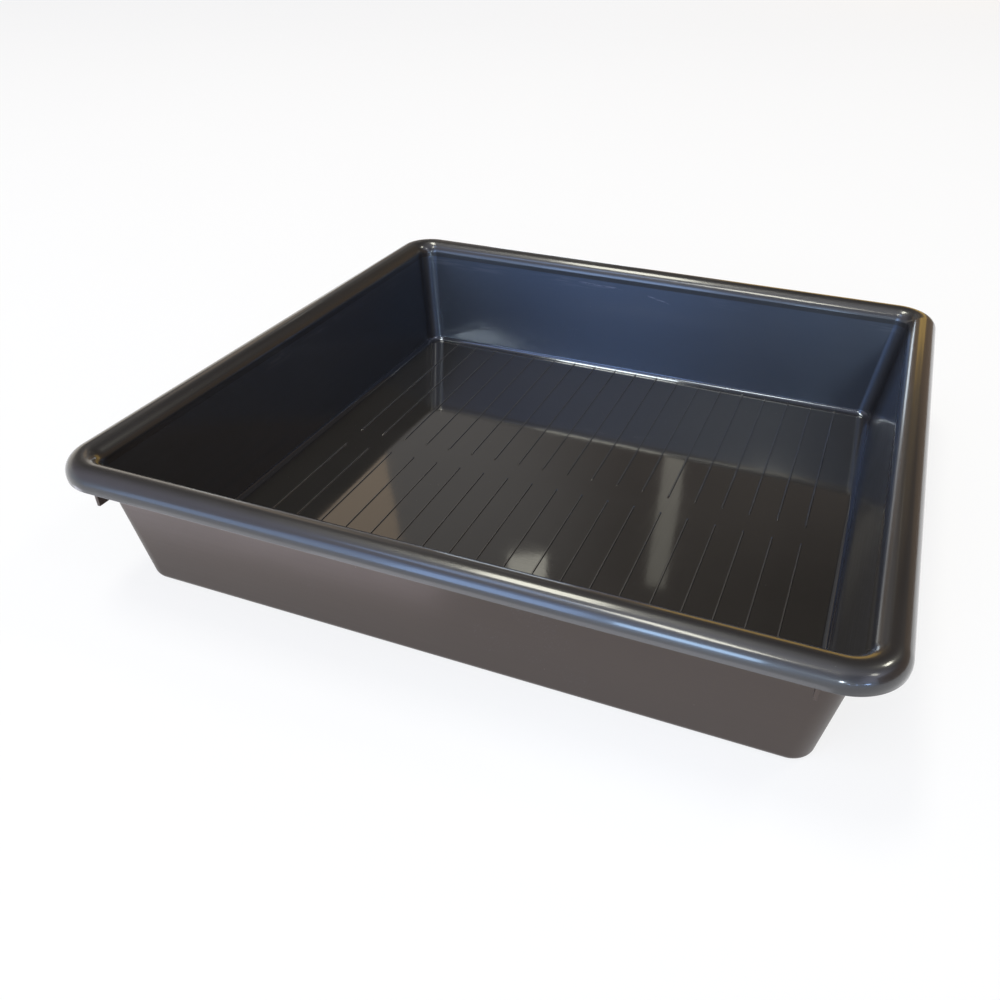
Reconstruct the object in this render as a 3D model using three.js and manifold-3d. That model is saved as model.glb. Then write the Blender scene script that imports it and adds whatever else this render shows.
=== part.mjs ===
// A square drip tray, one thin black injection moulding, in millimetres with +Z up.
// The origin is on the underside, at the middle of the base. The front is at -Y.
// The moulding is laid out as its named regions: floor, walls, wall corners, rim lengths,
// rim corners and the gussets under the rim, which meet face to face along its own feature lines.
import * as THREE from "three";
import { mergeVertices } from "three/addons/utils/BufferGeometryUtils.js";
import Module from "manifold-3d";

const wasm = await Module();
wasm.setup();

// Driving dimensions
const TRAY_WIDTH = 600; // over the rim, along X
const TRAY_DEPTH = 596; // over the rim, along Y
const TRAY_HEIGHT = 116; // underside to the crown of the rim
const FLOOR_THICKNESS = 3;
const WALL_THICKNESS = 2.2; // walls and rim alike
const DRAFT = THREE.MathUtils.degToRad(7); // each wall leans out by this much
const CORNER_RADIUS = 14.5; // plan radius of the inside corners, the same at every height
const FLOOR_FILLET = 6; // inside, between floor and wall
const BASE_ROUND = 7; // outside, between underside and wall
const RIM_RADIUS = 13; // the rolled rim is a half round of this radius
const LIP_DROP = 2.2; // the rim's lip below the half round's centre
const RIB_PITCH = 25;
const RIB_EDGE_MARGIN = 25; // least flat floor between the last rib of a row and the side wall
const RIB_WIDTH = 1.6; // at the floor
const RIB_TOP_WIDTH = 1.1;
const RIB_HEIGHT = 1;
const RIB_ROW_GAP = 25; // plain strip across the middle of the floor
const GUSSET_THICKNESS = 2.6;
const GUSSET_INSET = 9.6; // from the foot of the neighbouring wall to the gusset's middle
const GUSSET_DROP = 9.5; // below the lip

// Clearances
const SEAM = 0.05; // between neighbouring regions of the moulding
const GUSSET_GAP = 0.3; // round a gusset inside the rim's channel
const CUT_MARGIN = 1; // how far a cutting block reaches past what it cuts
const MERGE_DISTANCE = 1e-4; // points closer than this are one point

// Roundness of the curved faces
const CORNER_STEPS = 10; // round a quarter turn in plan
const RIM_STEPS = 8; // over each half of the rim
const FILLET_STEPS = 5;

// Places in the section of a wall: u runs outwards from the foot of the wall, z runs up.
const lean = Math.tan(DRAFT);
const wallRun = WALL_THICKNESS / Math.cos(DRAFT); // wall thickness measured along u
const rimCentreZ = TRAY_HEIGHT - RIM_RADIUS;
const rimCentreU =
  (RIM_RADIUS + (rimCentreZ - FLOOR_THICKNESS) * Math.sin(DRAFT)) / Math.cos(DRAFT);
const rimOuterU = rimCentreU + RIM_RADIUS;
const lipZ = rimCentreZ - LIP_DROP;
const filletReach = FLOOR_FILLET * Math.tan(Math.PI / 4 - DRAFT / 2); // tangent length
const baseReach = BASE_ROUND * Math.tan(Math.PI / 4 - DRAFT / 2);
const innerU = (z) => (z - FLOOR_THICKNESS) * lean;
const outerU = (z) => innerU(z) + wallRun;

// Places in plan
const floorHalfX = TRAY_WIDTH / 2 - rimOuterU; // foot of the side walls
const floorHalfY = TRAY_DEPTH / 2 - rimOuterU; // foot of the front and back walls
const plainHalfX = floorHalfX - filletReach; // edge of the flat floor
const plainHalfY = floorHalfY - filletReach;
const cornerX = floorHalfX - CORNER_RADIUS; // axis of each round corner, at the floor's level
const cornerY = floorHalfY - CORNER_RADIUS;
const ribsEachSide = Math.floor((plainHalfX - RIB_EDGE_MARGIN) / RIB_PITCH); // of a row's middle rib

const point = (u, z) => new THREE.Vector2(u, z);

// Points on an arc in the section, from one angle to another, both in radians.
function arc(centreU, centreZ, radius, from, to, steps) {
  const points = [];
  for (let i = 0; i <= steps; i += 1) {
    const angle = from + ((to - from) * i) / steps;
    points.push(point(centreU + radius * Math.cos(angle), centreZ + radius * Math.sin(angle)));
  }
  return points;
}

// The rim's round from the lip side over the crown to where it meets the leaning wall.
function crown(radius) {
  const outside = arc(rimCentreU, rimCentreZ, radius, 0, Math.PI / 2, RIM_STEPS);
  const inside = arc(rimCentreU, rimCentreZ, radius, Math.PI / 2, Math.PI - DRAFT, RIM_STEPS);
  return [...outside, ...inside.slice(1)];
}

// The wall from its foot up to the rim, as a counter-clockwise outline.
// The foot's place in u depends on the height.
function wallSection(foot) {
  const bottomCentreU = outerU(0) - baseReach;
  const filletCentreZ = FLOOR_THICKNESS + FLOOR_FILLET;
  const fillet = arc(-filletReach, filletCentreZ, FLOOR_FILLET, -DRAFT, -Math.PI / 2, FILLET_STEPS);
  const reachesPast = foot(FLOOR_THICKNESS) < -filletReach;
  return [
    point(foot(0), 0),
    ...arc(bottomCentreU, BASE_ROUND, BASE_ROUND, -Math.PI / 2, -DRAFT, FILLET_STEPS),
    point(outerU(lipZ), lipZ),
    point(innerU(lipZ), lipZ),
    ...fillet,
    ...(reachesPast ? [point(foot(FLOOR_THICKNESS), FLOOR_THICKNESS)] : []),
  ];
}

// The rolled rim, a half round channel open underneath, as a counter-clockwise outline.
function rimSection() {
  const base = lipZ + SEAM;
  return [
    point(rimOuterU - WALL_THICKNESS, base),
    point(rimOuterU, base),
    ...crown(RIM_RADIUS),
    point(innerU(base), base),
    point(outerU(base), base),
    ...crown(RIM_RADIUS - WALL_THICKNESS).reverse(),
  ];
}

// The outline a gusset may fill: under the rim, between the wall and the lip, and below the lip.
function gussetSection() {
  const bottom = lipZ - GUSSET_DROP;
  const top = RIM_RADIUS - WALL_THICKNESS - GUSSET_GAP;
  const edge = rimOuterU - WALL_THICKNESS / 2; // under the middle of the lip
  return [
    point(outerU(bottom) + GUSSET_GAP, bottom),
    point(edge, bottom),
    point(edge, lipZ - GUSSET_GAP),
    point(rimCentreU + top, lipZ - GUSSET_GAP),
    ...crown(top),
  ];
}

// A geometry as a solid that can be joined and cut, and back again.
function solidOf(geometry) {
  const bare = geometry.clone();
  bare.deleteAttribute("normal");
  bare.deleteAttribute("uv");
  const merged = mergeVertices(bare, MERGE_DISTANCE);
  const vertProperties = new Float32Array(merged.attributes.position.array);
  const triVerts = new Uint32Array(merged.index.array);
  return new wasm.Manifold(new wasm.Mesh({ numProp: 3, vertProperties, triVerts }));
}

function geometryOf(solid) {
  const mesh = solid.getMesh();
  const geometry = new THREE.BufferGeometry();
  geometry.setAttribute("position", new THREE.BufferAttribute(new Float32Array(mesh.vertProperties), 3));
  geometry.setIndex(new THREE.BufferAttribute(new Uint32Array(mesh.triVerts), 1));
  geometry.computeVertexNormals();
  return geometry;
}

function boxBetween(low, high) {
  const size = high.clone().sub(low);
  const middle = high.clone().add(low).multiplyScalar(0.5);
  return new THREE.BoxGeometry(size.x, size.y, size.z).translate(middle.x, middle.y, middle.z);
}

// A section run straight along Y for a length, with its u along X from the foot at footX.
function straightRun(section, footX, length) {
  const shape = new THREE.Shape(section);
  const run = new THREE.ExtrudeGeometry(shape, { depth: length, bevelEnabled: false });
  return run.rotateX(Math.PI / 2).translate(footX, length / 2, 0);
}

// Carries the ends of a run outwards with height, to follow the corners that lean out.
function leanEnds(run) {
  const places = run.attributes.position;
  for (let i = 0; i < places.count; i += 1) {
    const shift = Math.sign(places.getY(i)) * innerU(places.getZ(i));
    places.setY(i, places.getY(i) + shift);
  }
  return run;
}

// Leans a corner out along +X and +Y, as the two walls beside it do.
function leanCorner(geometry) {
  const back = -FLOOR_THICKNESS * lean;
  const shear = new THREE.Matrix4();
  shear.set(1, 0, lean, back, 0, 1, lean, back, 0, 0, 1, 0, 0, 0, 0, 1);
  return geometry.applyMatrix4(shear);
}

// The quarter on the +X +Y side of a corner's axis, inset from the axis by a clearance.
function quadrant(inset) {
  const reach = rimOuterU + CORNER_RADIUS + CUT_MARGIN;
  return boxBetween(
    new THREE.Vector3(inset, inset, -CUT_MARGIN),
    new THREE.Vector3(reach, reach, TRAY_HEIGHT + CUT_MARGIN),
  );
}

// A section turned a quarter round a corner's axis, which stands at the origin, and leaned out.
function quarterTurn(section) {
  const outline = section.map((p) => point(p.x - innerU(p.y) + CORNER_RADIUS, p.y));
  const onAxis = Math.abs(outline[0].x) < MERGE_DISTANCE;
  const closed = onAxis ? outline : [...outline, outline[0]];
  const ring = new THREE.LatheGeometry(closed, 4 * CORNER_STEPS).rotateX(Math.PI / 2);
  const quarter = solidOf(ring).intersect(solidOf(quadrant(SEAM)));
  return leanCorner(geometryOf(quarter));
}

const plastic = { color: 0x1a1a1d, metalness: 0 };
const finishes = {
  inside: { ...plastic, roughness: 0.22 },
  rim: { ...plastic, roughness: 0.28 },
  under: { ...plastic, roughness: 0.5 },
};

function named(name, geometry, finish) {
  const mesh = new THREE.Mesh(geometry, new THREE.MeshStandardMaterial(finishes[finish]));
  mesh.name = name;
  return mesh;
}

// One drafted rib, from the plain strip to the foot of the back wall, rooted in the floor.
function ribGeometry(x) {
  const root = FLOOR_THICKNESS / 2;
  const from = RIB_ROW_GAP / 2;
  const section = new THREE.Shape([
    point(-RIB_WIDTH / 2, -root),
    point(RIB_WIDTH / 2, -root),
    point(RIB_WIDTH / 2, 0),
    point(RIB_TOP_WIDTH / 2, RIB_HEIGHT),
    point(-RIB_TOP_WIDTH / 2, RIB_HEIGHT),
    point(-RIB_WIDTH / 2, 0),
  ]);
  const length = plainHalfY - SEAM - from;
  const run = new THREE.ExtrudeGeometry(section, { depth: length, bevelEnabled: false });
  return run.rotateX(Math.PI / 2).translate(x, from + length, FLOOR_THICKNESS);
}

// The flat floor with its ribs, less the piece of floor that each corner region brings itself.
function floorPanel() {
  const slab = boxBetween(
    new THREE.Vector3(-plainHalfX + SEAM, -plainHalfY + SEAM, 0),
    new THREE.Vector3(plainHalfX - SEAM, plainHalfY - SEAM, FLOOR_THICKNESS),
  );
  let floor = solidOf(slab);
  for (const corner of corners) {
    const block = leanCorner(quadrant(0)).rotateZ((corner.turn * Math.PI) / 2);
    floor = floor.subtract(solidOf(block.translate(corner.x, corner.y, 0)));
  }
  for (let i = -ribsEachSide; i <= ribsEachSide; i += 1) {
    const rib = ribGeometry(i * RIB_PITCH);
    const opposite = rib.clone().rotateZ(Math.PI);
    floor = floor.add(solidOf(rib)).add(solidOf(opposite));
  }
  return named("floor_panel", geometryOf(floor), "inside");
}

// The four corners, each turned so that its quarter faces outwards.
const corners = [
  { name: "back_right", turn: 0, x: cornerX, y: cornerY },
  { name: "back_left", turn: 1, x: -cornerX, y: cornerY },
  { name: "front_left", turn: 2, x: -cornerX, y: -cornerY },
  { name: "front_right", turn: 3, x: cornerX, y: -cornerY },
];

// The four sides, each as a turned group whose +X points outwards.
// The ends are named in the order of the side's own +Y and -Y.
const sides = [
  { name: "right", turn: 0, foot: floorHalfX, along: floorHalfY, ends: ["back", "front"] },
  { name: "back", turn: 1, foot: floorHalfY, along: floorHalfX, ends: ["left", "right"] },
  { name: "left", turn: 2, foot: floorHalfX, along: floorHalfY, ends: ["front", "back"] },
  { name: "front", turn: 3, foot: floorHalfY, along: floorHalfX, ends: ["right", "left"] },
];

// A gusset closes the rim's channel near one end of a side, where the corner begins.
function gusset(side, end, direction) {
  const plate = straightRun(gussetSection(), side.foot, GUSSET_THICKNESS);
  plate.translate(0, direction * (side.along - GUSSET_INSET), 0);
  return named(`gusset_${side.name}_${end}`, plate, "under");
}

function sideGroup(side) {
  const group = new THREE.Group();
  const length = 2 * (side.along - CORNER_RADIUS);
  const wall = leanEnds(straightRun(wallSection(() => -filletReach), side.foot, length));
  const rim = leanEnds(straightRun(rimSection(), side.foot, length));
  group.add(named(`wall_${side.name}`, wall, "inside"));
  group.add(named(`rim_${side.name}`, rim, "rim"));
  group.add(gusset(side, side.ends[0], 1));
  group.add(gusset(side, side.ends[1], -1));
  group.rotation.z = (side.turn * Math.PI) / 2;
  return group;
}

function cornerGroup(corner) {
  const group = new THREE.Group();
  const wall = quarterTurn(wallSection((z) => innerU(z) - CORNER_RADIUS));
  const rim = quarterTurn(rimSection());
  group.add(named(`wall_corner_${corner.name}`, wall, "inside"));
  group.add(named(`rim_corner_${corner.name}`, rim, "rim"));
  group.position.set(corner.x, corner.y, 0);
  group.rotation.z = (corner.turn * Math.PI) / 2;
  return group;
}

const tray = new THREE.Group();
tray.name = "drip_tray";
tray.add(floorPanel());
for (const side of sides) tray.add(sideGroup(side));
for (const corner of corners) tray.add(cornerGroup(corner));

export default tray;
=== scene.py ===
"""The looks of a square black plastic drip tray, built round its CAD frame.

The tray is one thin moulding. Each visible piece here is one region of it, a closed body whose
outer faces run on into its neighbours, so that the whole reads as one skin.
"""
import math

import bpy
from mathutils import Matrix, Vector


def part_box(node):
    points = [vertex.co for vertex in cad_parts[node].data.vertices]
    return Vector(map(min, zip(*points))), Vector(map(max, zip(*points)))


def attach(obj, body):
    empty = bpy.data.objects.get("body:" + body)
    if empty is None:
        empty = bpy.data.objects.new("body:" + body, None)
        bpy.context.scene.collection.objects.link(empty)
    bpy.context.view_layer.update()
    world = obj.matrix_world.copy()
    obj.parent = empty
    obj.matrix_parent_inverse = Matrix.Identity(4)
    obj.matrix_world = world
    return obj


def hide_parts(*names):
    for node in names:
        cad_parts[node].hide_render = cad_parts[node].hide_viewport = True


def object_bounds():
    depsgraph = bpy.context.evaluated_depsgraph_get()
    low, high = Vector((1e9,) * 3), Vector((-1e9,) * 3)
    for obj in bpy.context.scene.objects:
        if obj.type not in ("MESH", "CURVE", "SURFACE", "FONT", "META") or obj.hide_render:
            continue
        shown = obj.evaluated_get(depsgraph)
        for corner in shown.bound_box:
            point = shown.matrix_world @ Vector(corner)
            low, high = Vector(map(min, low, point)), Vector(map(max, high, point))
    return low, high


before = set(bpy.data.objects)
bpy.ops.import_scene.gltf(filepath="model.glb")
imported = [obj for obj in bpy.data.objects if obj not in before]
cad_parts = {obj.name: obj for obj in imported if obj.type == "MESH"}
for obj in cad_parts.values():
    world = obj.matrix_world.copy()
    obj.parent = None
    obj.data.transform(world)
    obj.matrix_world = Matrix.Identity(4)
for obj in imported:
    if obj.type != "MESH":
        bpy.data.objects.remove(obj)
cad_low, cad_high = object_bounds()

# Sizes of the moulding, in metres
FLOOR_THICKNESS = 0.003
WALL_THICKNESS = 0.0022
DRAFT = math.radians(7)
CORNER_RADIUS = 0.0145  # plan radius of the inside corners, the same at every height
FLOOR_FILLET = 0.006
BASE_ROUND = 0.007
RIM_RADIUS = 0.013
LIP_ROUND = 0.0006  # on both edges of the rim's lip
RIB_PITCH = 0.025
RIBS_EACH_SIDE = 9  # of the middle rib of a row
RIB_HALF_WIDTH = 0.00095  # at the floor
RIB_FLANK = 0.0008  # across one rounded flank
RIB_HEIGHT = 0.001
RIB_END = 0.004  # length of the rounded end of a rib
RIB_ROW_GAP = 0.025
GUSSET_THICKNESS = 0.0026
GUSSET_EASE = 0.0004  # along its edges
GUSSET_CORNER = 0.0007  # round at the gusset's lower corner

# Roughness of the finishes
FLOOR_ROUGH = 0.06
WALL_ROUGH = 0.36
WALL_DRAWN = 0.8  # how far the walls' level polishing lines spread light up and down
FLOOR_SKIN_ROUGH = 0.05  # the clear gloss over the floor
WALL_SKIN_ROUGH = 0.09  # and over the walls
WALL_SKIN = 0.7  # how strong that gloss is on the walls
RIM_SKIN_ROUGH = 0.12
OUTSIDE_ROUGH = 0.36

# Colours of the polished plastic, of the floor with its film of dust, and of the satin outside
DARK = (0.0095, 0.0090, 0.0100, 1)
LIGHT = (0.0140, 0.0130, 0.0135, 1)
DUSTY_DARK = (0.0165, 0.0155, 0.0145, 1)
DUSTY_LIGHT = (0.0240, 0.0225, 0.0210, 1)
SATIN_DARK = (0.0185, 0.0137, 0.0110, 1)
SATIN_LIGHT = (0.0242, 0.0180, 0.0146, 1)

# Tints of the soft sheen on the walls and on the outside
COLD_SHEEN = (0.64, 0.77, 1.0, 1)
WARM_SHEEN = (1.0, 0.80, 0.70, 1)

# Colours of wear and dirt
WORN_RIB = (0.085, 0.083, 0.080, 1)
RUBBED = (0.085, 0.085, 0.09, 1)
GLOSS_HAIRLINE = (0.05, 0.05, 0.055, 1)
GLOSS_DUST = (0.20, 0.19, 0.18, 1)
SATIN_HAIRLINE = (0.08, 0.08, 0.085, 1)
SATIN_DUST = (0.30, 0.28, 0.26, 1)
WORN_RIBS = 0.6  # how far the tops of the ribs are worn pale
RUB_STRENGTH = 0.28

# Depths under the rim's lower edge where the rubbing of stacked trays begins, is full and starts to fade
RUB_LOW = 0.013
RUB_FULL = 0.006
RUB_HIGH = 0.003

BUMP_DEPTH = 0.0006

# Rubbed marks on the back wall: start and end as (x, z), half width
SCUFFS = (
    ((-0.083, 0.0964), (-0.026, 0.0950), 0.0016),
    ((0.000, 0.0925), (0.016, 0.0890), 0.0013),
    ((0.010, 0.0905), (0.028, 0.0868), 0.0011),
)
SCUFFED_FROM = (0.25, 0.255)  # y over which the marks set in, so that no other wall has them

# Roundness of the curved faces
CORNER_STEPS = 40
RIM_STEPS = 20
FILLET_STEPS = 12
ROUND_STEPS = 5
FLANK_STEPS = 6

# Places taken from the frame
side_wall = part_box("wall_right")
front_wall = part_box("wall_front")
flat_half_x = side_wall[0].x  # edge of the flat floor
flat_half_y = -front_wall[1].y
lip_z = side_wall[1].z
fillet_reach = FLOOR_FILLET * math.tan(math.pi / 4 - DRAFT / 2)
foot_x = flat_half_x + fillet_reach  # foot of the side walls
foot_y = flat_half_y + fillet_reach
corner_x = foot_x - CORNER_RADIUS  # axis of each round corner, at the floor's level
corner_y = foot_y - CORNER_RADIUS
rim_centre_z = cad_high.z - RIM_RADIUS
rim_centre_u = cad_high.x - RIM_RADIUS - foot_x

# Places in the section of a wall: u runs outwards from the foot of the wall, z runs up
lean = math.tan(DRAFT)
wall_run = WALL_THICKNESS / math.cos(DRAFT)
inside_face = Vector((-math.cos(DRAFT), math.sin(DRAFT)))
outside_face = -inside_face


def inner_u(z):
    return (z - FLOOR_THICKNESS) * lean


def outer_u(z):
    return inner_u(z) + wall_run


def arc(centre, radius, start, end, steps, hollow=False):
    """Points on an arc of the section with their outward normals. Angles are in radians."""
    found = []
    for i in range(steps + 1):
        angle = start + (end - start) * i / steps
        outward = Vector((math.cos(angle), math.sin(angle)))
        found.append((Vector(centre) + radius * outward, -outward if hollow else outward))
    return found


def flat(start, end):
    """Two points of the section with the normal on the left of the way from one to the other."""
    way = (Vector(end) - Vector(start)).normalized()
    normal = Vector((-way.y, way.x))
    return [(Vector(start), normal), (Vector(end), normal)]


# The section's runs, clockwise with u to the right and z up: (finish, points with normals)
INSIDE, OUTSIDE = 0, 1


def wall_runs():
    """The wall from the edge of the flat floor up to the lip's level."""
    foot = (-fillet_reach, FLOOR_THICKNESS + FLOOR_FILLET)
    base_u = outer_u(0) - BASE_ROUND * math.tan(math.pi / 4 - DRAFT / 2)
    inside = arc(foot, FLOOR_FILLET, -math.pi / 2, -DRAFT, FILLET_STEPS, hollow=True)
    inside.append((Vector((inner_u(lip_z), lip_z)), inside_face))
    outside = [(Vector((outer_u(lip_z), lip_z)), outside_face)]
    outside += arc((base_u, BASE_ROUND), BASE_ROUND, -DRAFT, -math.pi / 2, FILLET_STEPS)
    outside.append((Vector((-fillet_reach, 0)), Vector((0, -1))))
    return [
        (INSIDE, inside),
        (OUTSIDE, flat(inside[-1][0], outside[0][0])),
        (OUTSIDE, outside),
        (OUTSIDE, flat(outside[-1][0], inside[0][0])),
    ]


def rim_runs():
    """The rolled rim, a half round channel open underneath, with its lip's edges rounded."""
    centre = (rim_centre_u, rim_centre_z)
    lip_out = rim_centre_u + RIM_RADIUS
    lip_in = lip_out - WALL_THICKNESS
    edge_z = lip_z + LIP_ROUND
    top = [(Vector((inner_u(lip_z), lip_z)), inside_face)]
    top += arc(centre, RIM_RADIUS, math.pi - DRAFT, math.pi / 2, RIM_STEPS)
    top += arc(centre, RIM_RADIUS, math.pi / 2, 0, RIM_STEPS)[1:]
    top += arc((lip_out - LIP_ROUND, edge_z), LIP_ROUND, 0, -math.pi / 2, ROUND_STEPS)
    under = arc((lip_in + LIP_ROUND, edge_z), LIP_ROUND, -math.pi / 2, -math.pi, ROUND_STEPS)
    under += arc(centre, RIM_RADIUS - WALL_THICKNESS, 0, math.pi - DRAFT, 2 * RIM_STEPS, hollow=True)
    under.append((Vector((outer_u(lip_z), lip_z)), outside_face))
    return [
        (INSIDE, top),
        (OUTSIDE, flat(top[-1][0], under[0][0])),
        (OUTSIDE, under),
        (OUTSIDE, flat(under[-1][0], top[0][0])),
    ]


def smooth_step(t):
    """A step from 0 to 1 with level ends, and its slope."""
    t = min(max(t, 0.0), 1.0)
    return t * t * (3 - 2 * t), 6 * t * (1 - t)


def rib_surface(x, y):
    """Height of the ribs above the flat floor, and the floor's normal there."""
    nearest = min(max(round(x / RIB_PITCH), -RIBS_EACH_SIDE), RIBS_EACH_SIDE)
    off = x - nearest * RIB_PITCH
    across, across_slope = smooth_step((RIB_HALF_WIDTH - abs(off)) / RIB_FLANK)
    along, along_slope = smooth_step((abs(y) - RIB_ROW_GAP / 2) / RIB_END)
    slope_x = -math.copysign(across_slope, off) / RIB_FLANK * along * RIB_HEIGHT
    slope_y = math.copysign(along_slope, y) / RIB_END * across * RIB_HEIGHT
    return RIB_HEIGHT * across * along, Vector((-slope_x, -slope_y, 1)).normalized()


def rib_lines():
    """The x of every mesh line along the ribs, in order."""
    offsets = [RIB_HALF_WIDTH - RIB_FLANK * i / FLANK_STEPS for i in range(FLANK_STEPS + 1)]
    found = []
    for i in range(-RIBS_EACH_SIDE, RIBS_EACH_SIDE + 1):
        found += [i * RIB_PITCH - o for o in offsets]
        found += [i * RIB_PITCH + o for o in reversed(offsets)]
    return found


def end_lines():
    """The y of every mesh line across the rounded ends of the ribs, in order."""
    away = [RIB_ROW_GAP / 2 + RIB_END * i / FLANK_STEPS for i in range(FLANK_STEPS + 1)]
    return [-y for y in reversed(away)] + away


class Station:
    """A place along the foot of the walls: the foot's point in plan and the way outwards.

    What the walls lean out with height goes along the drift, so that the corners lean with both.
    """

    def __init__(self, foot, outward, drift):
        self.foot = foot
        self.outward = outward
        self.drift = drift

    def place(self, spot):
        leant = inner_u(spot.y)
        plan = self.foot + (spot.x - leant) * self.outward + leant * self.drift
        return Vector((plan.x, plan.y, spot.y))

    def face(self, normal):
        plan = normal.x * self.outward
        extra = lean * (self.drift.dot(self.outward) - 1)
        return Vector((plan.x, plan.y, normal.y - extra * normal.x)).normalized()


def side_stations(turn, across):
    """Stations along a straight side, which is the right side turned by quarter turns."""
    foot = foot_x if turn % 2 == 0 else foot_y
    spin = Matrix.Rotation(turn * math.pi / 2, 2)
    found = []
    for i, a in enumerate(across):
        end = -1 if i == 0 else 1 if i == len(across) - 1 else 0
        found.append(Station(spin @ Vector((foot, a)), spin @ Vector((1, 0)), spin @ Vector((1, end))))
    return found


def corner_stations(turn):
    """Stations round a corner, which is the back right corner turned by quarter turns."""
    spin = Matrix.Rotation(turn * math.pi / 2, 2)
    sign = spin @ Vector((1, 1))
    axis = Vector((math.copysign(corner_x, sign.x), math.copysign(corner_y, sign.y)))
    found = []
    for i in range(CORNER_STEPS + 1):
        angle = (turn + i / CORNER_STEPS) * math.pi / 2
        outward = Vector((math.cos(angle), math.sin(angle)))
        found.append(Station(axis + CORNER_RADIUS * outward, outward, sign))
    return found


class Skin:
    """Points, faces, normals and finishes of one closed piece while it is made."""

    def __init__(self):
        self.points = []
        self.faces = []
        self.normals = []
        self.finishes = []

    def point(self, spot):
        self.points.append(spot)
        return len(self.points) - 1

    def face(self, corners, normals, finish):
        self.faces.append(corners)
        self.normals.extend(normals)
        self.finishes.append(finish)

    def flat_face(self, corners, normal, finish):
        self.face(corners, [normal] * len(corners), finish)

    def make(self, name, materials):
        mesh = bpy.data.meshes.new(name)
        mesh.from_pydata([tuple(p) for p in self.points], [], self.faces)
        for material in materials:
            mesh.materials.append(material)
        for polygon, finish in zip(mesh.polygons, self.finishes):
            polygon.material_index = finish
            polygon.use_smooth = True
        mesh.normals_split_custom_set([tuple(n) for n in self.normals])
        piece = bpy.data.objects.new(name, mesh)
        bpy.context.scene.collection.objects.link(piece)
        return piece


def swept(runs, stations, ribbed=False):
    """A closed skin of a section carried along stations, which go anticlockwise round the tray."""
    skin = Skin()
    rows = []
    for station in stations:
        row = []
        for finish, run in runs:
            spots = [[station.place(spot), station.face(normal)] for spot, normal in run]
            if ribbed and finish == INSIDE:
                raise_ribs(spots)
            row.append((finish, spots))
        rows.append(row)
    loops = []
    for row in rows:
        loop = [[skin.point(place) for place, normal in spots[:-1]] for finish, spots in row]
        loops.append(loop)
    for here, there, low, high in zip(rows, rows[1:], loops, loops[1:]):
        for r, (finish, spots) in enumerate(here):
            ring_low = low[r] + [low[(r + 1) % len(low)][0]]
            ring_high = high[r] + [high[(r + 1) % len(high)][0]]
            beyond = there[r][1]
            for i in range(len(spots) - 1):
                corners = [ring_low[i], ring_low[i + 1], ring_high[i + 1], ring_high[i]]
                normals = [spots[i][1], spots[i + 1][1], beyond[i + 1][1], beyond[i][1]]
                skin.face(corners, normals, finish)
    along = [Vector((-s.outward.y, s.outward.x, 0)) for s in (stations[0], stations[-1])]
    first = [p for part in loops[0] for p in part]
    last = [p for part in loops[-1] for p in part]
    skin.flat_face(first[::-1], -along[0], OUTSIDE)
    skin.flat_face(last, along[1], OUTSIDE)
    return skin


def raise_ribs(spots):
    """Lets the ribs run on into the fillet until it stands higher than they do."""
    for spot in spots:
        height, normal = rib_surface(spot[0].x, spot[0].y)
        if height > 0 and spot[0].z < FLOOR_THICKNESS + height:
            spot[0].z = FLOOR_THICKNESS + height
            spot[1] = normal


def floor_skin():
    """The flat floor with its two rows of ribs and its round corners."""
    skin = Skin()
    xs = [-flat_half_x, -corner_x, *rib_lines(), corner_x, flat_half_x]
    ys = [-flat_half_y, -corner_y, *end_lines(), corner_y, flat_half_y]
    up = Vector((0, 0, 1))
    top = {}
    base = {}
    normals = {}

    def corner_cut(i, j):
        return i in (0, len(xs) - 1) and j in (0, len(ys) - 1)

    for i, x in enumerate(xs):
        for j, y in enumerate(ys):
            if not corner_cut(i, j):
                height, normals[i, j] = rib_surface(x, y)
                top[i, j] = skin.point(Vector((x, y, FLOOR_THICKNESS + height)))
                base[i, j] = skin.point(Vector((x, y, 0)))
    for i in range(len(xs) - 1):
        for j in range(len(ys) - 1):
            square = [(i, j), (i + 1, j), (i + 1, j + 1), (i, j + 1)]
            if all(k in top for k in square):
                skin.face([top[k] for k in square], [normals[k] for k in square], INSIDE)
                skin.flat_face([base[k] for k in reversed(square)], -up, OUTSIDE)
    edge = floor_edge(skin, xs, ys, top, base)
    for (top_a, base_a), (top_b, base_b) in zip(edge, edge[1:] + edge[:1]):
        a = skin.points[base_a]
        way = (skin.points[base_b] - a).normalized()
        skin.flat_face([base_a, base_b, top_b, top_a], Vector((way.y, -way.x, 0)), OUTSIDE)
    return skin


def floor_edge(skin, xs, ys, top, base):
    """Fills the round corners and returns the floor's edge anticlockwise as (top, base) points."""
    last_x, last_y = len(xs) - 1, len(ys) - 1
    right = [(last_x, j) for j in range(1, last_y)]
    back = [(i, last_y) for i in range(last_x - 1, 0, -1)]
    left = [(0, j) for j in range(last_y - 1, 0, -1)]
    front = [(i, 0) for i in range(1, last_x)]
    pivots = [(last_x - 1, last_y - 1), (1, last_y - 1), (1, 1), (last_x - 1, 1)]
    up = Vector((0, 0, 1))
    edge = []
    for turn, (side, pivot) in enumerate(zip((right, back, left, front), pivots)):
        edge += [(top[k], base[k]) for k in side]
        after = (back, left, front, right)[turn][0]
        bend = []
        for station in corner_stations(turn)[1:-1]:
            spots = [station.place(Vector((-fillet_reach, z))) for z in (FLOOR_THICKNESS, 0)]
            bend.append((skin.point(spots[0]), skin.point(spots[1])))
        fan = [edge[-1], *bend, (top[after], base[after])]
        for (top_a, base_a), (top_b, base_b) in zip(fan, fan[1:]):
            skin.flat_face([top[pivot], top_a, top_b], up, INSIDE)
            skin.flat_face([base[pivot], base_b, base_a], -up, OUTSIDE)
        edge += bend
    return edge


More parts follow.
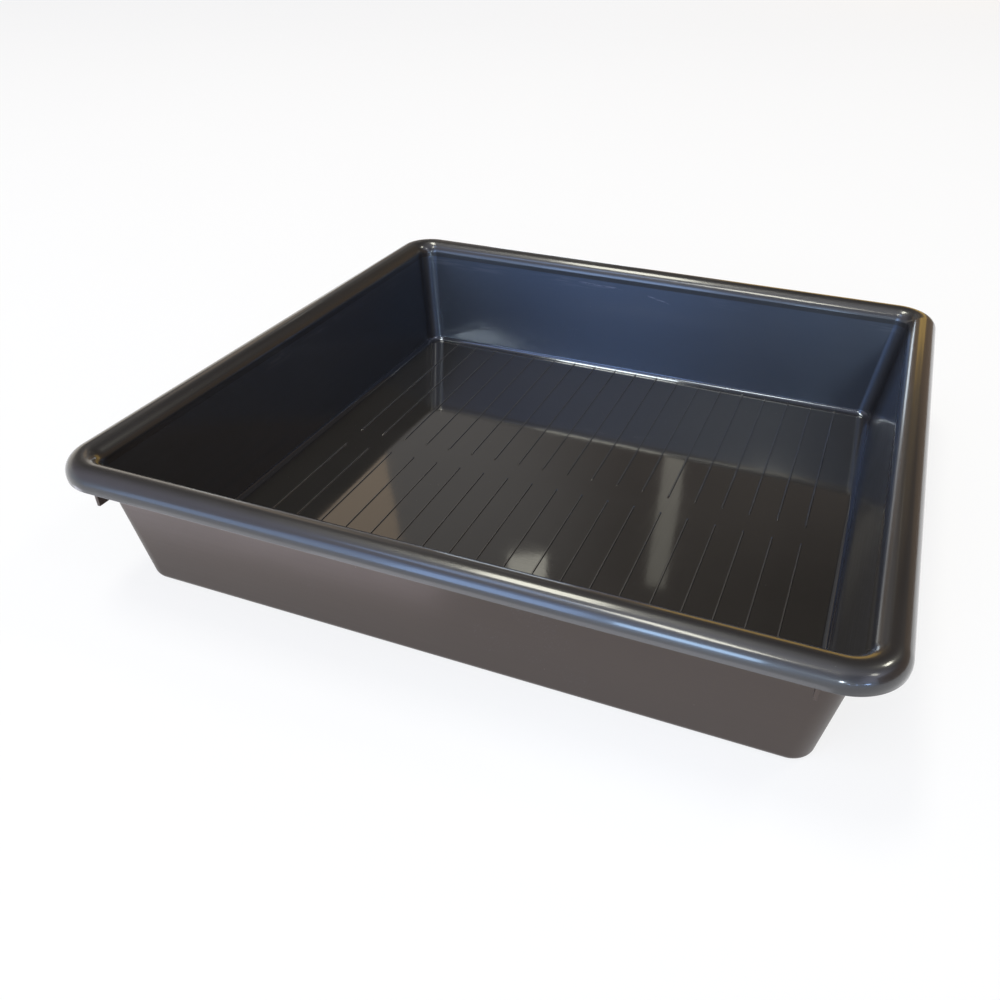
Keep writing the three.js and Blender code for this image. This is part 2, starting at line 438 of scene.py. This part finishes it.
def gusset_outline(inset, bottom):
    """The gusset's outline in the section, anticlockwise, let into the wall and the rim."""
    edge = rim_centre_u + RIM_RADIUS - WALL_THICKNESS / 2 - inset
    roof = RIM_RADIUS - WALL_THICKNESS / 2 - inset
    centre = (rim_centre_u, rim_centre_z)
    low_z = bottom + inset
    low = (edge - GUSSET_CORNER, low_z + GUSSET_CORNER)
    outline = [(Vector((inner_u(low_z) + wall_run / 2 + inset, low_z)), Vector((0, -1)))]
    outline += arc(low, GUSSET_CORNER, -math.pi / 2, 0, ROUND_STEPS)
    outline += arc(centre, roof, 0, math.pi - DRAFT, RIM_STEPS)
    return outline


def gusset_skin(turn, node):
    """A small plate across the rim's channel, with its edges eased, where the frame has it."""
    low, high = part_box(node)
    spin = Matrix.Rotation(turn * math.pi / 2, 3, "Z")
    middle = (spin.transposed() @ ((low + high) / 2)).y
    foot = foot_x if turn % 2 == 0 else foot_y
    half = GUSSET_THICKNESS / 2
    skin = Skin()
    rings = []
    full = half - GUSSET_EASE
    for off, inset in ((-half, GUSSET_EASE), (-full, 0), (full, 0), (half, GUSSET_EASE)):
        ring = []
        for spot, normal in gusset_outline(inset, low.z):
            place = spin @ Vector((foot + spot.x, middle + off, spot.y))
            tilt = math.copysign(1, off) if inset else 0
            face = (spin @ Vector((normal.x, tilt, normal.y))).normalized()
            ring.append((skin.point(place), face))
        rings.append(ring)
    for here, there in zip(rings, rings[1:]):
        for (a, na), (b, nb), (c, nc), (d, nd) in zip(here, there, there[1:] + there[:1], here[1:] + here[:1]):
            skin.face([a, b, c, d], [na, nb, nc, nd], OUTSIDE)
    side = spin @ Vector((0, 1, 0))
    skin.flat_face([p for p, n in rings[0]], -side, OUTSIDE)
    skin.flat_face([p for p, n in reversed(rings[-1])], side, OUTSIDE)
    return skin


class Nodes:
    """Builds the nodes of one shader tree."""

    def __init__(self, tree):
        self.tree = tree

    def fill(self, socket, value):
        if isinstance(value, bpy.types.NodeSocket):
            self.tree.links.new(value, socket)
        else:
            socket.default_value = value

    def add(self, kind, inputs, output=0, **options):
        made = self.tree.nodes.new(kind)
        for key, value in options.items():
            setattr(made, key, value)
        for key, value in inputs.items():
            self.fill(made.inputs[key], value)
        return made.outputs[output]

    def place(self):
        return self.add("ShaderNodeTexCoord", {}, "Object")

    def parts(self, vector):
        made = self.tree.nodes.new("ShaderNodeSeparateXYZ")
        self.fill(made.inputs[0], vector)
        return made.outputs

    def stretch(self, vector, scale):
        return self.add("ShaderNodeVectorMath", {0: vector, 1: scale}, operation="MULTIPLY")

    def turn(self, vector, angles):
        return self.add("ShaderNodeMapping", {"Vector": vector, "Rotation": angles})

    def math(self, operation, a, b=0.0):
        return self.add("ShaderNodeMath", {0: a, 1: b}, operation=operation)

    def noise(self, vector, scale, detail=2.0, roughness=0.5):
        inputs = {"Vector": vector, "Scale": scale, "Detail": detail, "Roughness": roughness}
        return self.add("ShaderNodeTexNoise", inputs, "Fac")

    def step(self, value, low, high, to_low=0.0, to_high=1.0):
        inputs = {"Value": value, "From Min": low, "From Max": high, "To Min": to_low, "To Max": to_high}
        return self.add("ShaderNodeMapRange", inputs, interpolation_type="SMOOTHSTEP")

    def blend(self, amount, a, b):
        made = self.tree.nodes.new("ShaderNodeMix")
        made.data_type = "RGBA"
        self.fill(made.inputs[0], amount)
        self.fill(made.inputs[6], a)
        self.fill(made.inputs[7], b)
        return made.outputs[2]

    def total(self, *values):
        found = values[0]
        for value in values[1:]:
            found = self.math("ADD", found, value)
        return found


def streaks(nodes, place, fine):
    """Fine lines that run along the nearest side of the tray, from 0 to 1."""
    x, y, z = nodes.parts(place)
    along_x = nodes.noise(nodes.stretch(place, (7, fine, fine)), 1.0, 3.0)
    along_y = nodes.noise(nodes.stretch(place, (fine, 7, fine)), 1.0, 3.0)
    side = nodes.step(nodes.math("SUBTRACT", nodes.math("ABSOLUTE", y), nodes.math("ABSOLUTE", x)), -0.01, 0.01)
    both = nodes.math("MULTIPLY", nodes.math("SUBTRACT", along_x, along_y), side)
    return nodes.math("ADD", both, along_y)


def scratches(nodes, place, angle, density):
    """Sparse hairlines at one slant, 1 on a line and 0 off it."""
    lines = nodes.stretch(nodes.turn(place, (angle, angle * 0.7, angle * 1.3)), (11, 900, 900))
    gate = nodes.step(nodes.noise(place, 21.0, 1.0), 0.62 - density, 0.74 - density)
    return nodes.math("MULTIPLY", nodes.step(nodes.noise(lines, 1.0, 1.0), 0.66, 0.72), gate)


def specks(nodes, place, scale, share, size):
    """Grains of dust, 1 on a grain and 0 off it."""
    made = nodes.tree.nodes.new("ShaderNodeTexVoronoi")
    nodes.fill(made.inputs["Vector"], place)
    made.inputs["Scale"].default_value = scale
    chosen = nodes.math("LESS_THAN", nodes.parts(made.outputs["Color"])[0], share)
    return nodes.math("MULTIPLY", chosen, nodes.step(made.outputs["Distance"], size, size * 0.6))


def scuff(nodes, place, start, end, half_width):
    """A rubbed mark on the back wall between two points given as (x, z), from 0 to 1."""
    x, y, z = nodes.parts(place)
    slope = (end[1] - start[1]) / (end[0] - start[0])
    line = nodes.math("ADD", nodes.math("MULTIPLY", nodes.math("SUBTRACT", x, start[0]), slope), start[1])
    off = nodes.math("ABSOLUTE", nodes.math("SUBTRACT", z, line))
    soft = (end[0] - start[0]) * 0.2
    set_in = nodes.step(x, start[0], start[0] + soft)
    ends = nodes.math("MULTIPLY", set_in, nodes.step(x, end[0], end[0] - soft))
    mark = nodes.math("MULTIPLY", nodes.step(off, half_width, 0.0), ends)
    broken = nodes.step(nodes.noise(nodes.stretch(place, (120, 120, 700)), 1.0, 3.0), 0.36, 0.62)
    return nodes.math("MULTIPLY", nodes.math("MULTIPLY", mark, broken), nodes.step(y, *SCUFFED_FROM))


def rub_band(nodes, place):
    """Faint level rubbing just under the rim, where stacked trays touch, from 0 to 1."""
    z = nodes.parts(place)[2]
    lower = nodes.step(z, lip_z - RUB_LOW, lip_z - RUB_FULL)
    upper = nodes.step(z, lip_z, lip_z - RUB_HIGH)
    band = nodes.math("MULTIPLY", lower, upper)
    lines = nodes.noise(nodes.stretch(place, (34, 34, 420)), 1.0, 3.0)
    patches = nodes.step(nodes.noise(place, 9.0, 2.0), 0.46, 0.64)
    return nodes.math("MULTIPLY", nodes.math("MULTIPLY", band, nodes.step(lines, 0.46, 0.66)), patches)


def gloss_plastic(tree, skin_rough, skin_weight, dark, light, worn_ribs=0.0, drawn=0.0):
    """Polished black plastic: a clear gloss over a mirror on the floor and over a soft sheen elsewhere.

    The sheen of drawn walls is spread up and down, along a tangent that stands nearly upright.
    """
    nodes = Nodes(tree)
    shader = tree.nodes["Principled BSDF"]
    shader.inputs["Coat Weight"].default_value = skin_weight
    shader.inputs["Coat Roughness"].default_value = skin_rough
    shader.inputs["Anisotropic"].default_value = drawn
    if drawn:
        shader.inputs["Specular IOR Level"].default_value = 1.0
        shader.inputs["Specular Tint"].default_value = COLD_SHEEN
        upright = nodes.add("ShaderNodeCombineXYZ", {"X": 0.001, "Y": 0.0007, "Z": 1.0})
        nodes.fill(shader.inputs["Tangent"], upright)
    place = nodes.place()
    z = nodes.parts(place)[2]
    lines = streaks(nodes, place, 900.0)
    clouds = nodes.noise(place, 14.0, 4.0, 0.6)
    hair = nodes.math("MAXIMUM", scratches(nodes, place, 0.5, 0.0), scratches(nodes, place, -0.9, 0.02))
    coarse = specks(nodes, place, 120.0, 0.02, 0.035)
    fine = specks(nodes, place, 330.0, 0.02, 0.07)
    dust = nodes.math("MAXIMUM", coarse, fine)
    rubbed = nodes.math("MULTIPLY", rub_band(nodes, place), RUB_STRENGTH)
    for start, end, half_width in SCUFFS:
        rubbed = nodes.math("MAXIMUM", rubbed, scuff(nodes, place, start, end, half_width))
    wall = nodes.step(z, FLOOR_THICKNESS + 0.001, FLOOR_THICKNESS + FLOOR_FILLET, FLOOR_ROUGH, WALL_ROUGH)
    cloudy = nodes.step(clouds, 0.3, 0.75, -0.015, 0.03)
    lined = nodes.step(lines, 0.3, 0.7, -0.02, 0.03)
    dirty = nodes.math("MULTIPLY", dust, 0.5)
    rough = nodes.total(wall, cloudy, lined, nodes.math("MULTIPLY", hair, 0.16), dirty)
    shade = nodes.blend(clouds, dark, light)
    if worn_ribs:
        tops = nodes.step(z, FLOOR_THICKNESS + 0.55 * RIB_HEIGHT, FLOOR_THICKNESS + 0.95 * RIB_HEIGHT)
        shade = nodes.blend(nodes.math("MULTIPLY", tops, worn_ribs), shade, WORN_RIB)
    shade = nodes.blend(nodes.math("MULTIPLY", hair, 0.35), shade, GLOSS_HAIRLINE)
    shade = nodes.blend(rubbed, shade, RUBBED)
    nodes.fill(shader.inputs["Base Color"], nodes.blend(dust, shade, GLOSS_DUST))
    nodes.fill(shader.inputs["Roughness"], rough)
    waves = nodes.noise(place, 5.5, 1.0)
    peel = nodes.math("MULTIPLY", nodes.noise(place, 420.0, 1.0), 0.008)
    grooves = nodes.math("MULTIPLY", lines, 0.001)
    cuts = nodes.math("MULTIPLY", hair, -0.004)
    height = nodes.total(waves, peel, grooves, cuts, nodes.math("MULTIPLY", dust, 0.15))
    bump = nodes.add("ShaderNodeBump", {"Height": height, "Distance": BUMP_DEPTH, "Strength": 1.0}, "Normal")
    nodes.fill(shader.inputs["Normal"], bump)
    nodes.fill(shader.inputs["Coat Normal"], bump)


def satin_plastic(tree):
    """The outside of the moulding: fine grained, duller and greyer, with a film of dust."""
    nodes = Nodes(tree)
    shader = tree.nodes["Principled BSDF"]
    shader.inputs["Specular IOR Level"].default_value = 0.7
    shader.inputs["Specular Tint"].default_value = WARM_SHEEN
    place = nodes.place()
    lines = streaks(nodes, place, 500.0)
    clouds = nodes.noise(place, 11.0, 4.0, 0.6)
    hair = nodes.math("MAXIMUM", scratches(nodes, place, 0.8, 0.02), scratches(nodes, place, -0.4, 0.0))
    coarse = specks(nodes, place, 90.0, 0.04, 0.04)
    dust = nodes.math("MAXIMUM", coarse, specks(nodes, place, 260.0, 0.02, 0.06))
    shade = nodes.blend(clouds, SATIN_DARK, SATIN_LIGHT)
    shade = nodes.blend(nodes.math("MULTIPLY", hair, 0.3), shade, SATIN_HAIRLINE)
    nodes.fill(shader.inputs["Base Color"], nodes.blend(dust, shade, SATIN_DUST))
    cloudy = nodes.step(clouds, 0.3, 0.75, OUTSIDE_ROUGH - 0.03, OUTSIDE_ROUGH + 0.05)
    lined = nodes.step(lines, 0.3, 0.7, -0.02, 0.02)
    nodes.fill(shader.inputs["Roughness"], nodes.total(cloudy, lined, nodes.math("MULTIPLY", hair, 0.1)))
    waves = nodes.noise(place, 6.0, 1.0)
    grain = nodes.math("MULTIPLY", nodes.noise(place, 1500.0, 2.0), 0.02)
    height = nodes.total(waves, grain, nodes.math("MULTIPLY", dust, 0.2))
    bump = nodes.add("ShaderNodeBump", {"Height": height, "Distance": BUMP_DEPTH, "Strength": 1.0}, "Normal")
    nodes.fill(shader.inputs["Normal"], bump)


def make_material(name, build, *values):
    material = bpy.data.materials.new(name)
    material.use_nodes = True
    build(material.node_tree, *values)
    return material


def add_piece(skin, name, nodes, materials):
    piece = skin.make(name, materials)
    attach(piece, "root")
    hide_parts(*nodes)
    return piece


def build_tray():
    satin = make_material("satin_black", satin_plastic)
    wall_gloss = make_material(
        "gloss_black", gloss_plastic, WALL_SKIN_ROUGH, WALL_SKIN, DARK, LIGHT, 0.0, WALL_DRAWN)
    floor_gloss = make_material(
        "floor_black", gloss_plastic, FLOOR_SKIN_ROUGH, 1.0, DUSTY_DARK, DUSTY_LIGHT, WORN_RIBS)
    rim_gloss = make_material("rim_black", gloss_plastic, RIM_SKIN_ROUGH, 1.0, DARK, LIGHT)
    finishes = [wall_gloss, satin]
    floor_finishes = [floor_gloss, satin]
    rim_finishes = [rim_gloss, satin]
    add_piece(floor_skin(), "moulded_floor", ["floor_panel"], floor_finishes)
    x_lines = [-corner_x, *rib_lines(), corner_x]
    y_lines = [-corner_y, *end_lines(), corner_y]
    for turn, side in enumerate(("right", "back", "left", "front")):
        across = y_lines if turn % 2 == 0 else x_lines
        wall = swept(wall_runs(), side_stations(turn, across), ribbed=turn % 2 == 1)
        add_piece(wall, f"moulded_wall_{side}", [f"wall_{side}"], finishes)
        ends = (across[0], across[-1])
        rim = swept(rim_runs(), side_stations(turn, ends))
        add_piece(rim, f"moulded_rim_{side}", [f"rim_{side}"], rim_finishes)
        for end in ("left", "right") if side in ("front", "back") else ("front", "back"):
            node = f"gusset_{side}_{end}"
            add_piece(gusset_skin(turn, node), f"moulded_{node}", [node], finishes)
    for turn, corner in enumerate(("back_right", "back_left", "front_left", "front_right")):
        stations = corner_stations(turn)
        wall = swept(wall_runs(), stations)
        add_piece(wall, f"moulded_wall_corner_{corner}", [f"wall_corner_{corner}"], finishes)
        rim = swept(rim_runs(), stations)
        add_piece(rim, f"moulded_rim_corner_{corner}", [f"rim_corner_{corner}"], rim_finishes)


# The camera, where the photograph was taken from
CAMERA_PLACE = Vector((0.2234, -0.6813, 0.4467))
CAMERA_RIGHT = Vector((0.92923, 0.3692, 0.0149))
CAMERA_VIEW = Vector((-0.28436, 0.74028, -0.6092))
FRAME_PIXELS = 1000
FOCAL_PIXELS = 883
CENTRE_PIXEL = (522.3, 570.7)  # where the camera's axis meets the frame
SENSOR = 36.0


def build_camera():
    data = bpy.data.cameras.new("camera")
    data.sensor_width = SENSOR
    data.lens = FOCAL_PIXELS / FRAME_PIXELS * SENSOR
    data.shift_x = (FRAME_PIXELS / 2 - CENTRE_PIXEL[0]) / FRAME_PIXELS
    data.shift_y = (CENTRE_PIXEL[1] - FRAME_PIXELS / 2) / FRAME_PIXELS
    camera = bpy.data.objects.new("camera", data)
    back = -CAMERA_VIEW.normalized()
    right = (CAMERA_RIGHT - CAMERA_RIGHT.dot(back) * back).normalized()
    turn = Matrix((right, back.cross(right), back)).transposed()
    camera.matrix_world = Matrix.Translation(CAMERA_PLACE) @ turn.to_4x4()
    bpy.context.scene.collection.objects.link(camera)
    bpy.context.scene.camera = camera


def pale_ground(tree):
    """Seamless white paper, which shows as white, keeps its shadows and is clear from below."""
    nodes = Nodes(tree)
    shader = tree.nodes["Principled BSDF"]
    place = nodes.place()
    shade = nodes.blend(nodes.noise(place, 3.0, 3.0), PAPER_DARK, PAPER_LIGHT)
    nodes.fill(shader.inputs["Base Color"], shade)
    shader.inputs["Roughness"].default_value = 0.9
    shader.inputs["Specular IOR Level"].default_value = 0.1
    rays = tree.nodes.new("ShaderNodeLightPath").outputs
    seen = nodes.math("MAXIMUM", rays["Is Camera Ray"], rays["Is Glossy Ray"])
    seen = nodes.math("MAXIMUM", seen, rays["Is Transmission Ray"])
    white = nodes.add("ShaderNodeEmission", {"Color": (1, 1, 1, 1), "Strength": 1.0})
    made = tree.nodes.new("ShaderNodeMixShader")
    nodes.fill(made.inputs[0], nodes.math("MULTIPLY", seen, GROUND_WHITE))
    nodes.fill(made.inputs[1], shader.outputs[0])
    nodes.fill(made.inputs[2], white)
    under = tree.nodes.new("ShaderNodeMixShader")
    nodes.fill(under.inputs[0], nodes.add("ShaderNodeNewGeometry", {}, "Backfacing"))
    nodes.fill(under.inputs[1], made.outputs[0])
    nodes.fill(under.inputs[2], nodes.add("ShaderNodeBsdfTransparent", {}))
    nodes.fill(tree.nodes["Material Output"].inputs["Surface"], under.outputs[0])


def studio_world(tree):
    """A pale horizon under a dim room, warm behind the tray and cool in front of it."""
    nodes = Nodes(tree)
    sky = nodes.add("ShaderNodeTexCoord", {}, "Generated")
    way = nodes.parts(sky)
    rise = nodes.step(way[2], math.sin(math.radians(HORIZON_TOP)), math.sin(math.radians(ROOM_FOOT)))
    front = nodes.step(way[1], 0.5, -0.5)
    left = nodes.step(way[0], 0.5, -0.6)
    mottle = nodes.step(nodes.noise(sky, 3.5, 2.0), 0.35, 0.65)
    back = nodes.blend(mottle, ROOM_BACK_DARK, ROOM_BACK_LIGHT)
    near_glow = nodes.add("ShaderNodeVectorMath", {0: sky, 1: GLOW_WAY}, "Value", operation="DOT_PRODUCT")
    back = nodes.blend(nodes.step(near_glow, 0.955, 0.998), back, ROOM_GLOW)
    cool = nodes.blend(left, ROOM_FRONT, ROOM_LEFT)
    cool = nodes.blend(nodes.step(way[0], 0.45, 0.75), cool, ROOM_RIGHT)
    cool = nodes.blend(nodes.step(way[2], 0.72, 0.90), cool, ROOM_TOP)
    room = nodes.blend(front, back, cool)
    horizon = nodes.blend(front, HORIZON_BACK, HORIZON_FRONT)
    nodes.fill(tree.nodes["Background"].inputs["Color"], nodes.blend(rise, horizon, room))


def area_light(name, size, radiance):
    """A rectangular lamp with a given radiance."""
    data = bpy.data.lights.new(name, "AREA")
    data.shape = "RECTANGLE"
    data.size, data.size_y = size
    strongest = max(radiance)
    data.color = [c / strongest for c in radiance]
    data.energy = math.pi * size[0] * size[1] * strongest
    return data


def lamp(name, place, aim, size, radiance):
    """A rectangular soft lamp aimed at a point."""
    data = area_light(name, size, radiance)
    lit = bpy.data.objects.new(name, data)
    way = Vector(aim) - Vector(place)
    lit.matrix_world = Matrix.Translation(place) @ way.to_track_quat("-Z", "Y").to_matrix().to_4x4()
    bpy.context.scene.collection.objects.link(lit)


def ceiling_lamp(name, place, size, turn, radiance, faces_up=False):
    """A level rectangular soft lamp that faces down or up, turned in plan by degrees."""
    data = area_light(name, size, radiance)
    lit = bpy.data.objects.new(name, data)
    lit.matrix_world = Matrix.Translation(place) @ Matrix.Rotation(math.radians(turn), 4, "Z")
    if faces_up:
        lit.matrix_world = lit.matrix_world @ Matrix.Rotation(math.pi, 4, "X")
    bpy.context.scene.collection.objects.link(lit)


def window(name, x, z, size, radiance):
    """An upright lamp in front of the tray that faces straight back."""
    lamp(name, (x, WINDOW_Y, z), (x, 0, z), size, radiance)


def ground_glow(name, x, y, size, radiance):
    """A level lamp close to the ground that faces up."""
    ceiling_lamp(name, (x, y, GLOW_Z), size, 0, radiance, faces_up=True)


def card_face(tree, colour):
    """A dimly shining card with a slight mottle."""
    nodes = Nodes(tree)
    shader = tree.nodes["Principled BSDF"]
    darker = tuple(0.9 * c for c in colour[:3]) + (1,)
    mottled = nodes.blend(nodes.noise(nodes.place(), 2.0, 2.0), darker, colour)
    shine = nodes.add("ShaderNodeEmission", {"Color": mottled, "Strength": 1.0})
    nodes.fill(tree.nodes["Material Output"].inputs["Surface"], shine)
    tree.nodes.remove(shader)


def card(name, plan, low, high, colour):
    """A standing card beyond the camera's view, folded along a line in plan, which the rim mirrors."""
    points = [(x, y, z) for x, y in plan for z in (low, high)]
    faces = [(2 * i, 2 * i + 2, 2 * i + 3, 2 * i + 1) for i in range(len(plan) - 1)]
    mesh = bpy.data.meshes.new(name)
    mesh.from_pydata(points, [], faces)
    mesh.materials.append(make_material(name, card_face, colour))
    made = bpy.data.objects.new(name, mesh)
    made.visible_camera = False
    bpy.context.scene.collection.objects.link(made)


# Colours of the paper, the room and the cards
PAPER_DARK = (0.88, 0.88, 0.88, 1)
PAPER_LIGHT = (0.91, 0.91, 0.91, 1)
ROOM_BACK_DARK = (0.085, 0.072, 0.063, 1)
ROOM_BACK_LIGHT = (0.150, 0.130, 0.116, 1)
ROOM_GLOW = (0.32, 0.305, 0.295, 1)
ROOM_FRONT = (0.25, 0.26, 0.34, 1)
ROOM_LEFT = (0.70, 0.66, 0.76, 1)
ROOM_RIGHT = (1.3, 1.35, 1.7, 1)
ROOM_TOP = (0.8, 0.8, 0.9, 1)
HORIZON_BACK = (0.93, 0.86, 0.76, 1)
HORIZON_FRONT = (0.74, 0.80, 0.90, 1)
BROWN = (0.27, 0.19, 0.125, 1)
GOLD = (1.2, 0.78, 0.23, 1)

# Colours of the lamps
COOL = Vector((0.35, 0.56, 1.0))
CREAM = Vector((1.0, 0.98, 0.84))
TAN = Vector((1.0, 0.68, 0.36))
LAVENDER = Vector((0.95, 0.93, 1.0))
PALE_BLUE = Vector((0.75, 0.88, 1.0))
MAUVE = Vector((0.84, 0.84, 1.0))
DEEP_BLUE = Vector((0.25, 0.5, 1.0))
ICE = Vector((0.47, 0.70, 1.0))

# Places on the stage
CEILING = 4.1  # height of the ceiling lamps
WINDOW_Y = -2.6  # of the upright lamps in front
GLOW_Z = 0.004  # height of the level lamps on the ground
GROUND_HALF = 8.0
GROUND_Z = -0.0002  # just under the base
GROUND_WHITE = 0.8  # how far the ground shows as white whatever the light
GLOW_WAY = (-0.449, 0.719, 0.530)  # way to a soft glow in the room behind
HORIZON_TOP = 13.0  # degrees above level where the pale horizon begins to fade
ROOM_FOOT = 22.0  # and where the dim room takes over


def build_stage():
    mesh = bpy.data.meshes.new("ground")
    signs = ((-1, -1), (1, -1), (1, 1), (-1, 1))
    corners = [(GROUND_HALF * x, GROUND_HALF * y, GROUND_Z) for x, y in signs]
    mesh.from_pydata(corners, [], [(0, 1, 2, 3)])
    mesh.materials.append(make_material("pale_ground", pale_ground))
    ground = bpy.data.objects.new("ground", mesh)
    bpy.context.scene.collection.objects.link(ground)
    world = bpy.data.worlds.new("world")
    world.use_nodes = True
    studio_world(world.node_tree)
    bpy.context.scene.world = world
    window("window_bright", -0.08, 0.525, (0.55, 0.85), 1.5 * COOL)
    window("window_mid", -0.75, 0.62, (0.75, 1.05), 6 * COOL)
    window("window_left", -1.75, 0.62, (1.2, 1.05), 2.2 * COOL)
    lamp("window_far_left", (1.2, -2.7, 0.52), (0.25, -0.25, 0.1), (0.12, 0.12), 18 * COOL)
    lamp("window_far_mid", (1.65, -2.5, 0.52), (0.25, -0.25, 0.1), (0.12, 0.12), 18 * COOL)
    lamp("window_far_right", (2.2, -2.0, 0.52), (0.25, -0.25, 0.1), (0.40, 0.22), 18 * COOL)
    lamp("window_high", (0.74, -2.7, 0.82), (-0.25, 0.1, 0.06), (0.25, 0.2), 75 * PALE_BLUE)
    window("window_upper_mid", -0.7, 1.35, (0.65, 0.75), 1.8 * DEEP_BLUE)
    window("window_upper_left", -1.4, 1.35, (0.65, 0.75), 1.8 * DEEP_BLUE)
    lamp("rim_strip", (0.166, -0.41, 0.135), (0.166, 0, 0.135), (0.105, 0.033), 10 * ICE)
    ceiling_lamp("skylight", (-1.6, -2.6, CEILING), (1.6, 1.2), 27, 3.5 * COOL)
    lamp("window_behind", (-2.15, 6.6, 0.45), (0.3, 0, 0.1), (1.2, 1.1), 3.2 * PALE_BLUE)
    lamp("window_behind_left", (-3.9, 6.2, 0.45), (0.3, 0, 0.1), (2.2, 1.1), 0.7 * PALE_BLUE)
    ceiling_lamp("ceiling_front", (-0.3, -2.98, CEILING), (0.6, 1.75), 27, 17 * CREAM)
    ceiling_lamp("ceiling_left", (-1.0, 0.1, CEILING), (0.75, 1.6), 0, 16 * CREAM)
    ceiling_lamp("ceiling_right_back", (3.0, 2.1, CEILING), (0.7, 1.0), 0, 22 * CREAM)
    ceiling_lamp("ceiling_right_front", (4.0, -1.3, CEILING), (1.2, 0.7), 0, 9 * CREAM)
    lamp("tan_panel", (-1.94, 2.34, 1.9), (0, 0, 0), (0.6, 0.9), 0.45 * TAN)
    lamp("bright_column", (-0.42, 2.95, 2.0), (0, 0, 0), (0.1, 0.7), 0.5 * CREAM)
    lamp("far_lamp", (-0.94, 2.4, 2.1), (0, 0, 0), (0.19, 0.16), 1.6 * CREAM)
    ground_glow("front_glow", 0.055, -0.43, (0.43, 0.09), 1.0 * LAVENDER)
    ground_glow("front_glow_left", -0.25, -0.43, (0.18, 0.09), 0.45 * LAVENDER)
    ground_glow("front_glow_bright", 0.14, -0.44, (0.14, 0.05), 4 * PALE_BLUE)
    ground_glow("left_glow", -0.25, -0.345, (0.45, 0.07), 1.6 * MAUVE)
    brown = [(4.6, -2.3), (4.6, 3.7), (3.2, 5.9), (1.0, 7.0), (-2.0, 7.5), (-5.0, 6.8)]
    card("brown_card", brown, 0, 2.7, BROWN)
    card("gold_card", [(1.1, 6.3), (-0.8, 6.3)], 0.3, 2.5, GOLD)
    bpy.context.scene.view_settings.view_transform = "Standard"


build_tray()
build_camera()
build_stage()
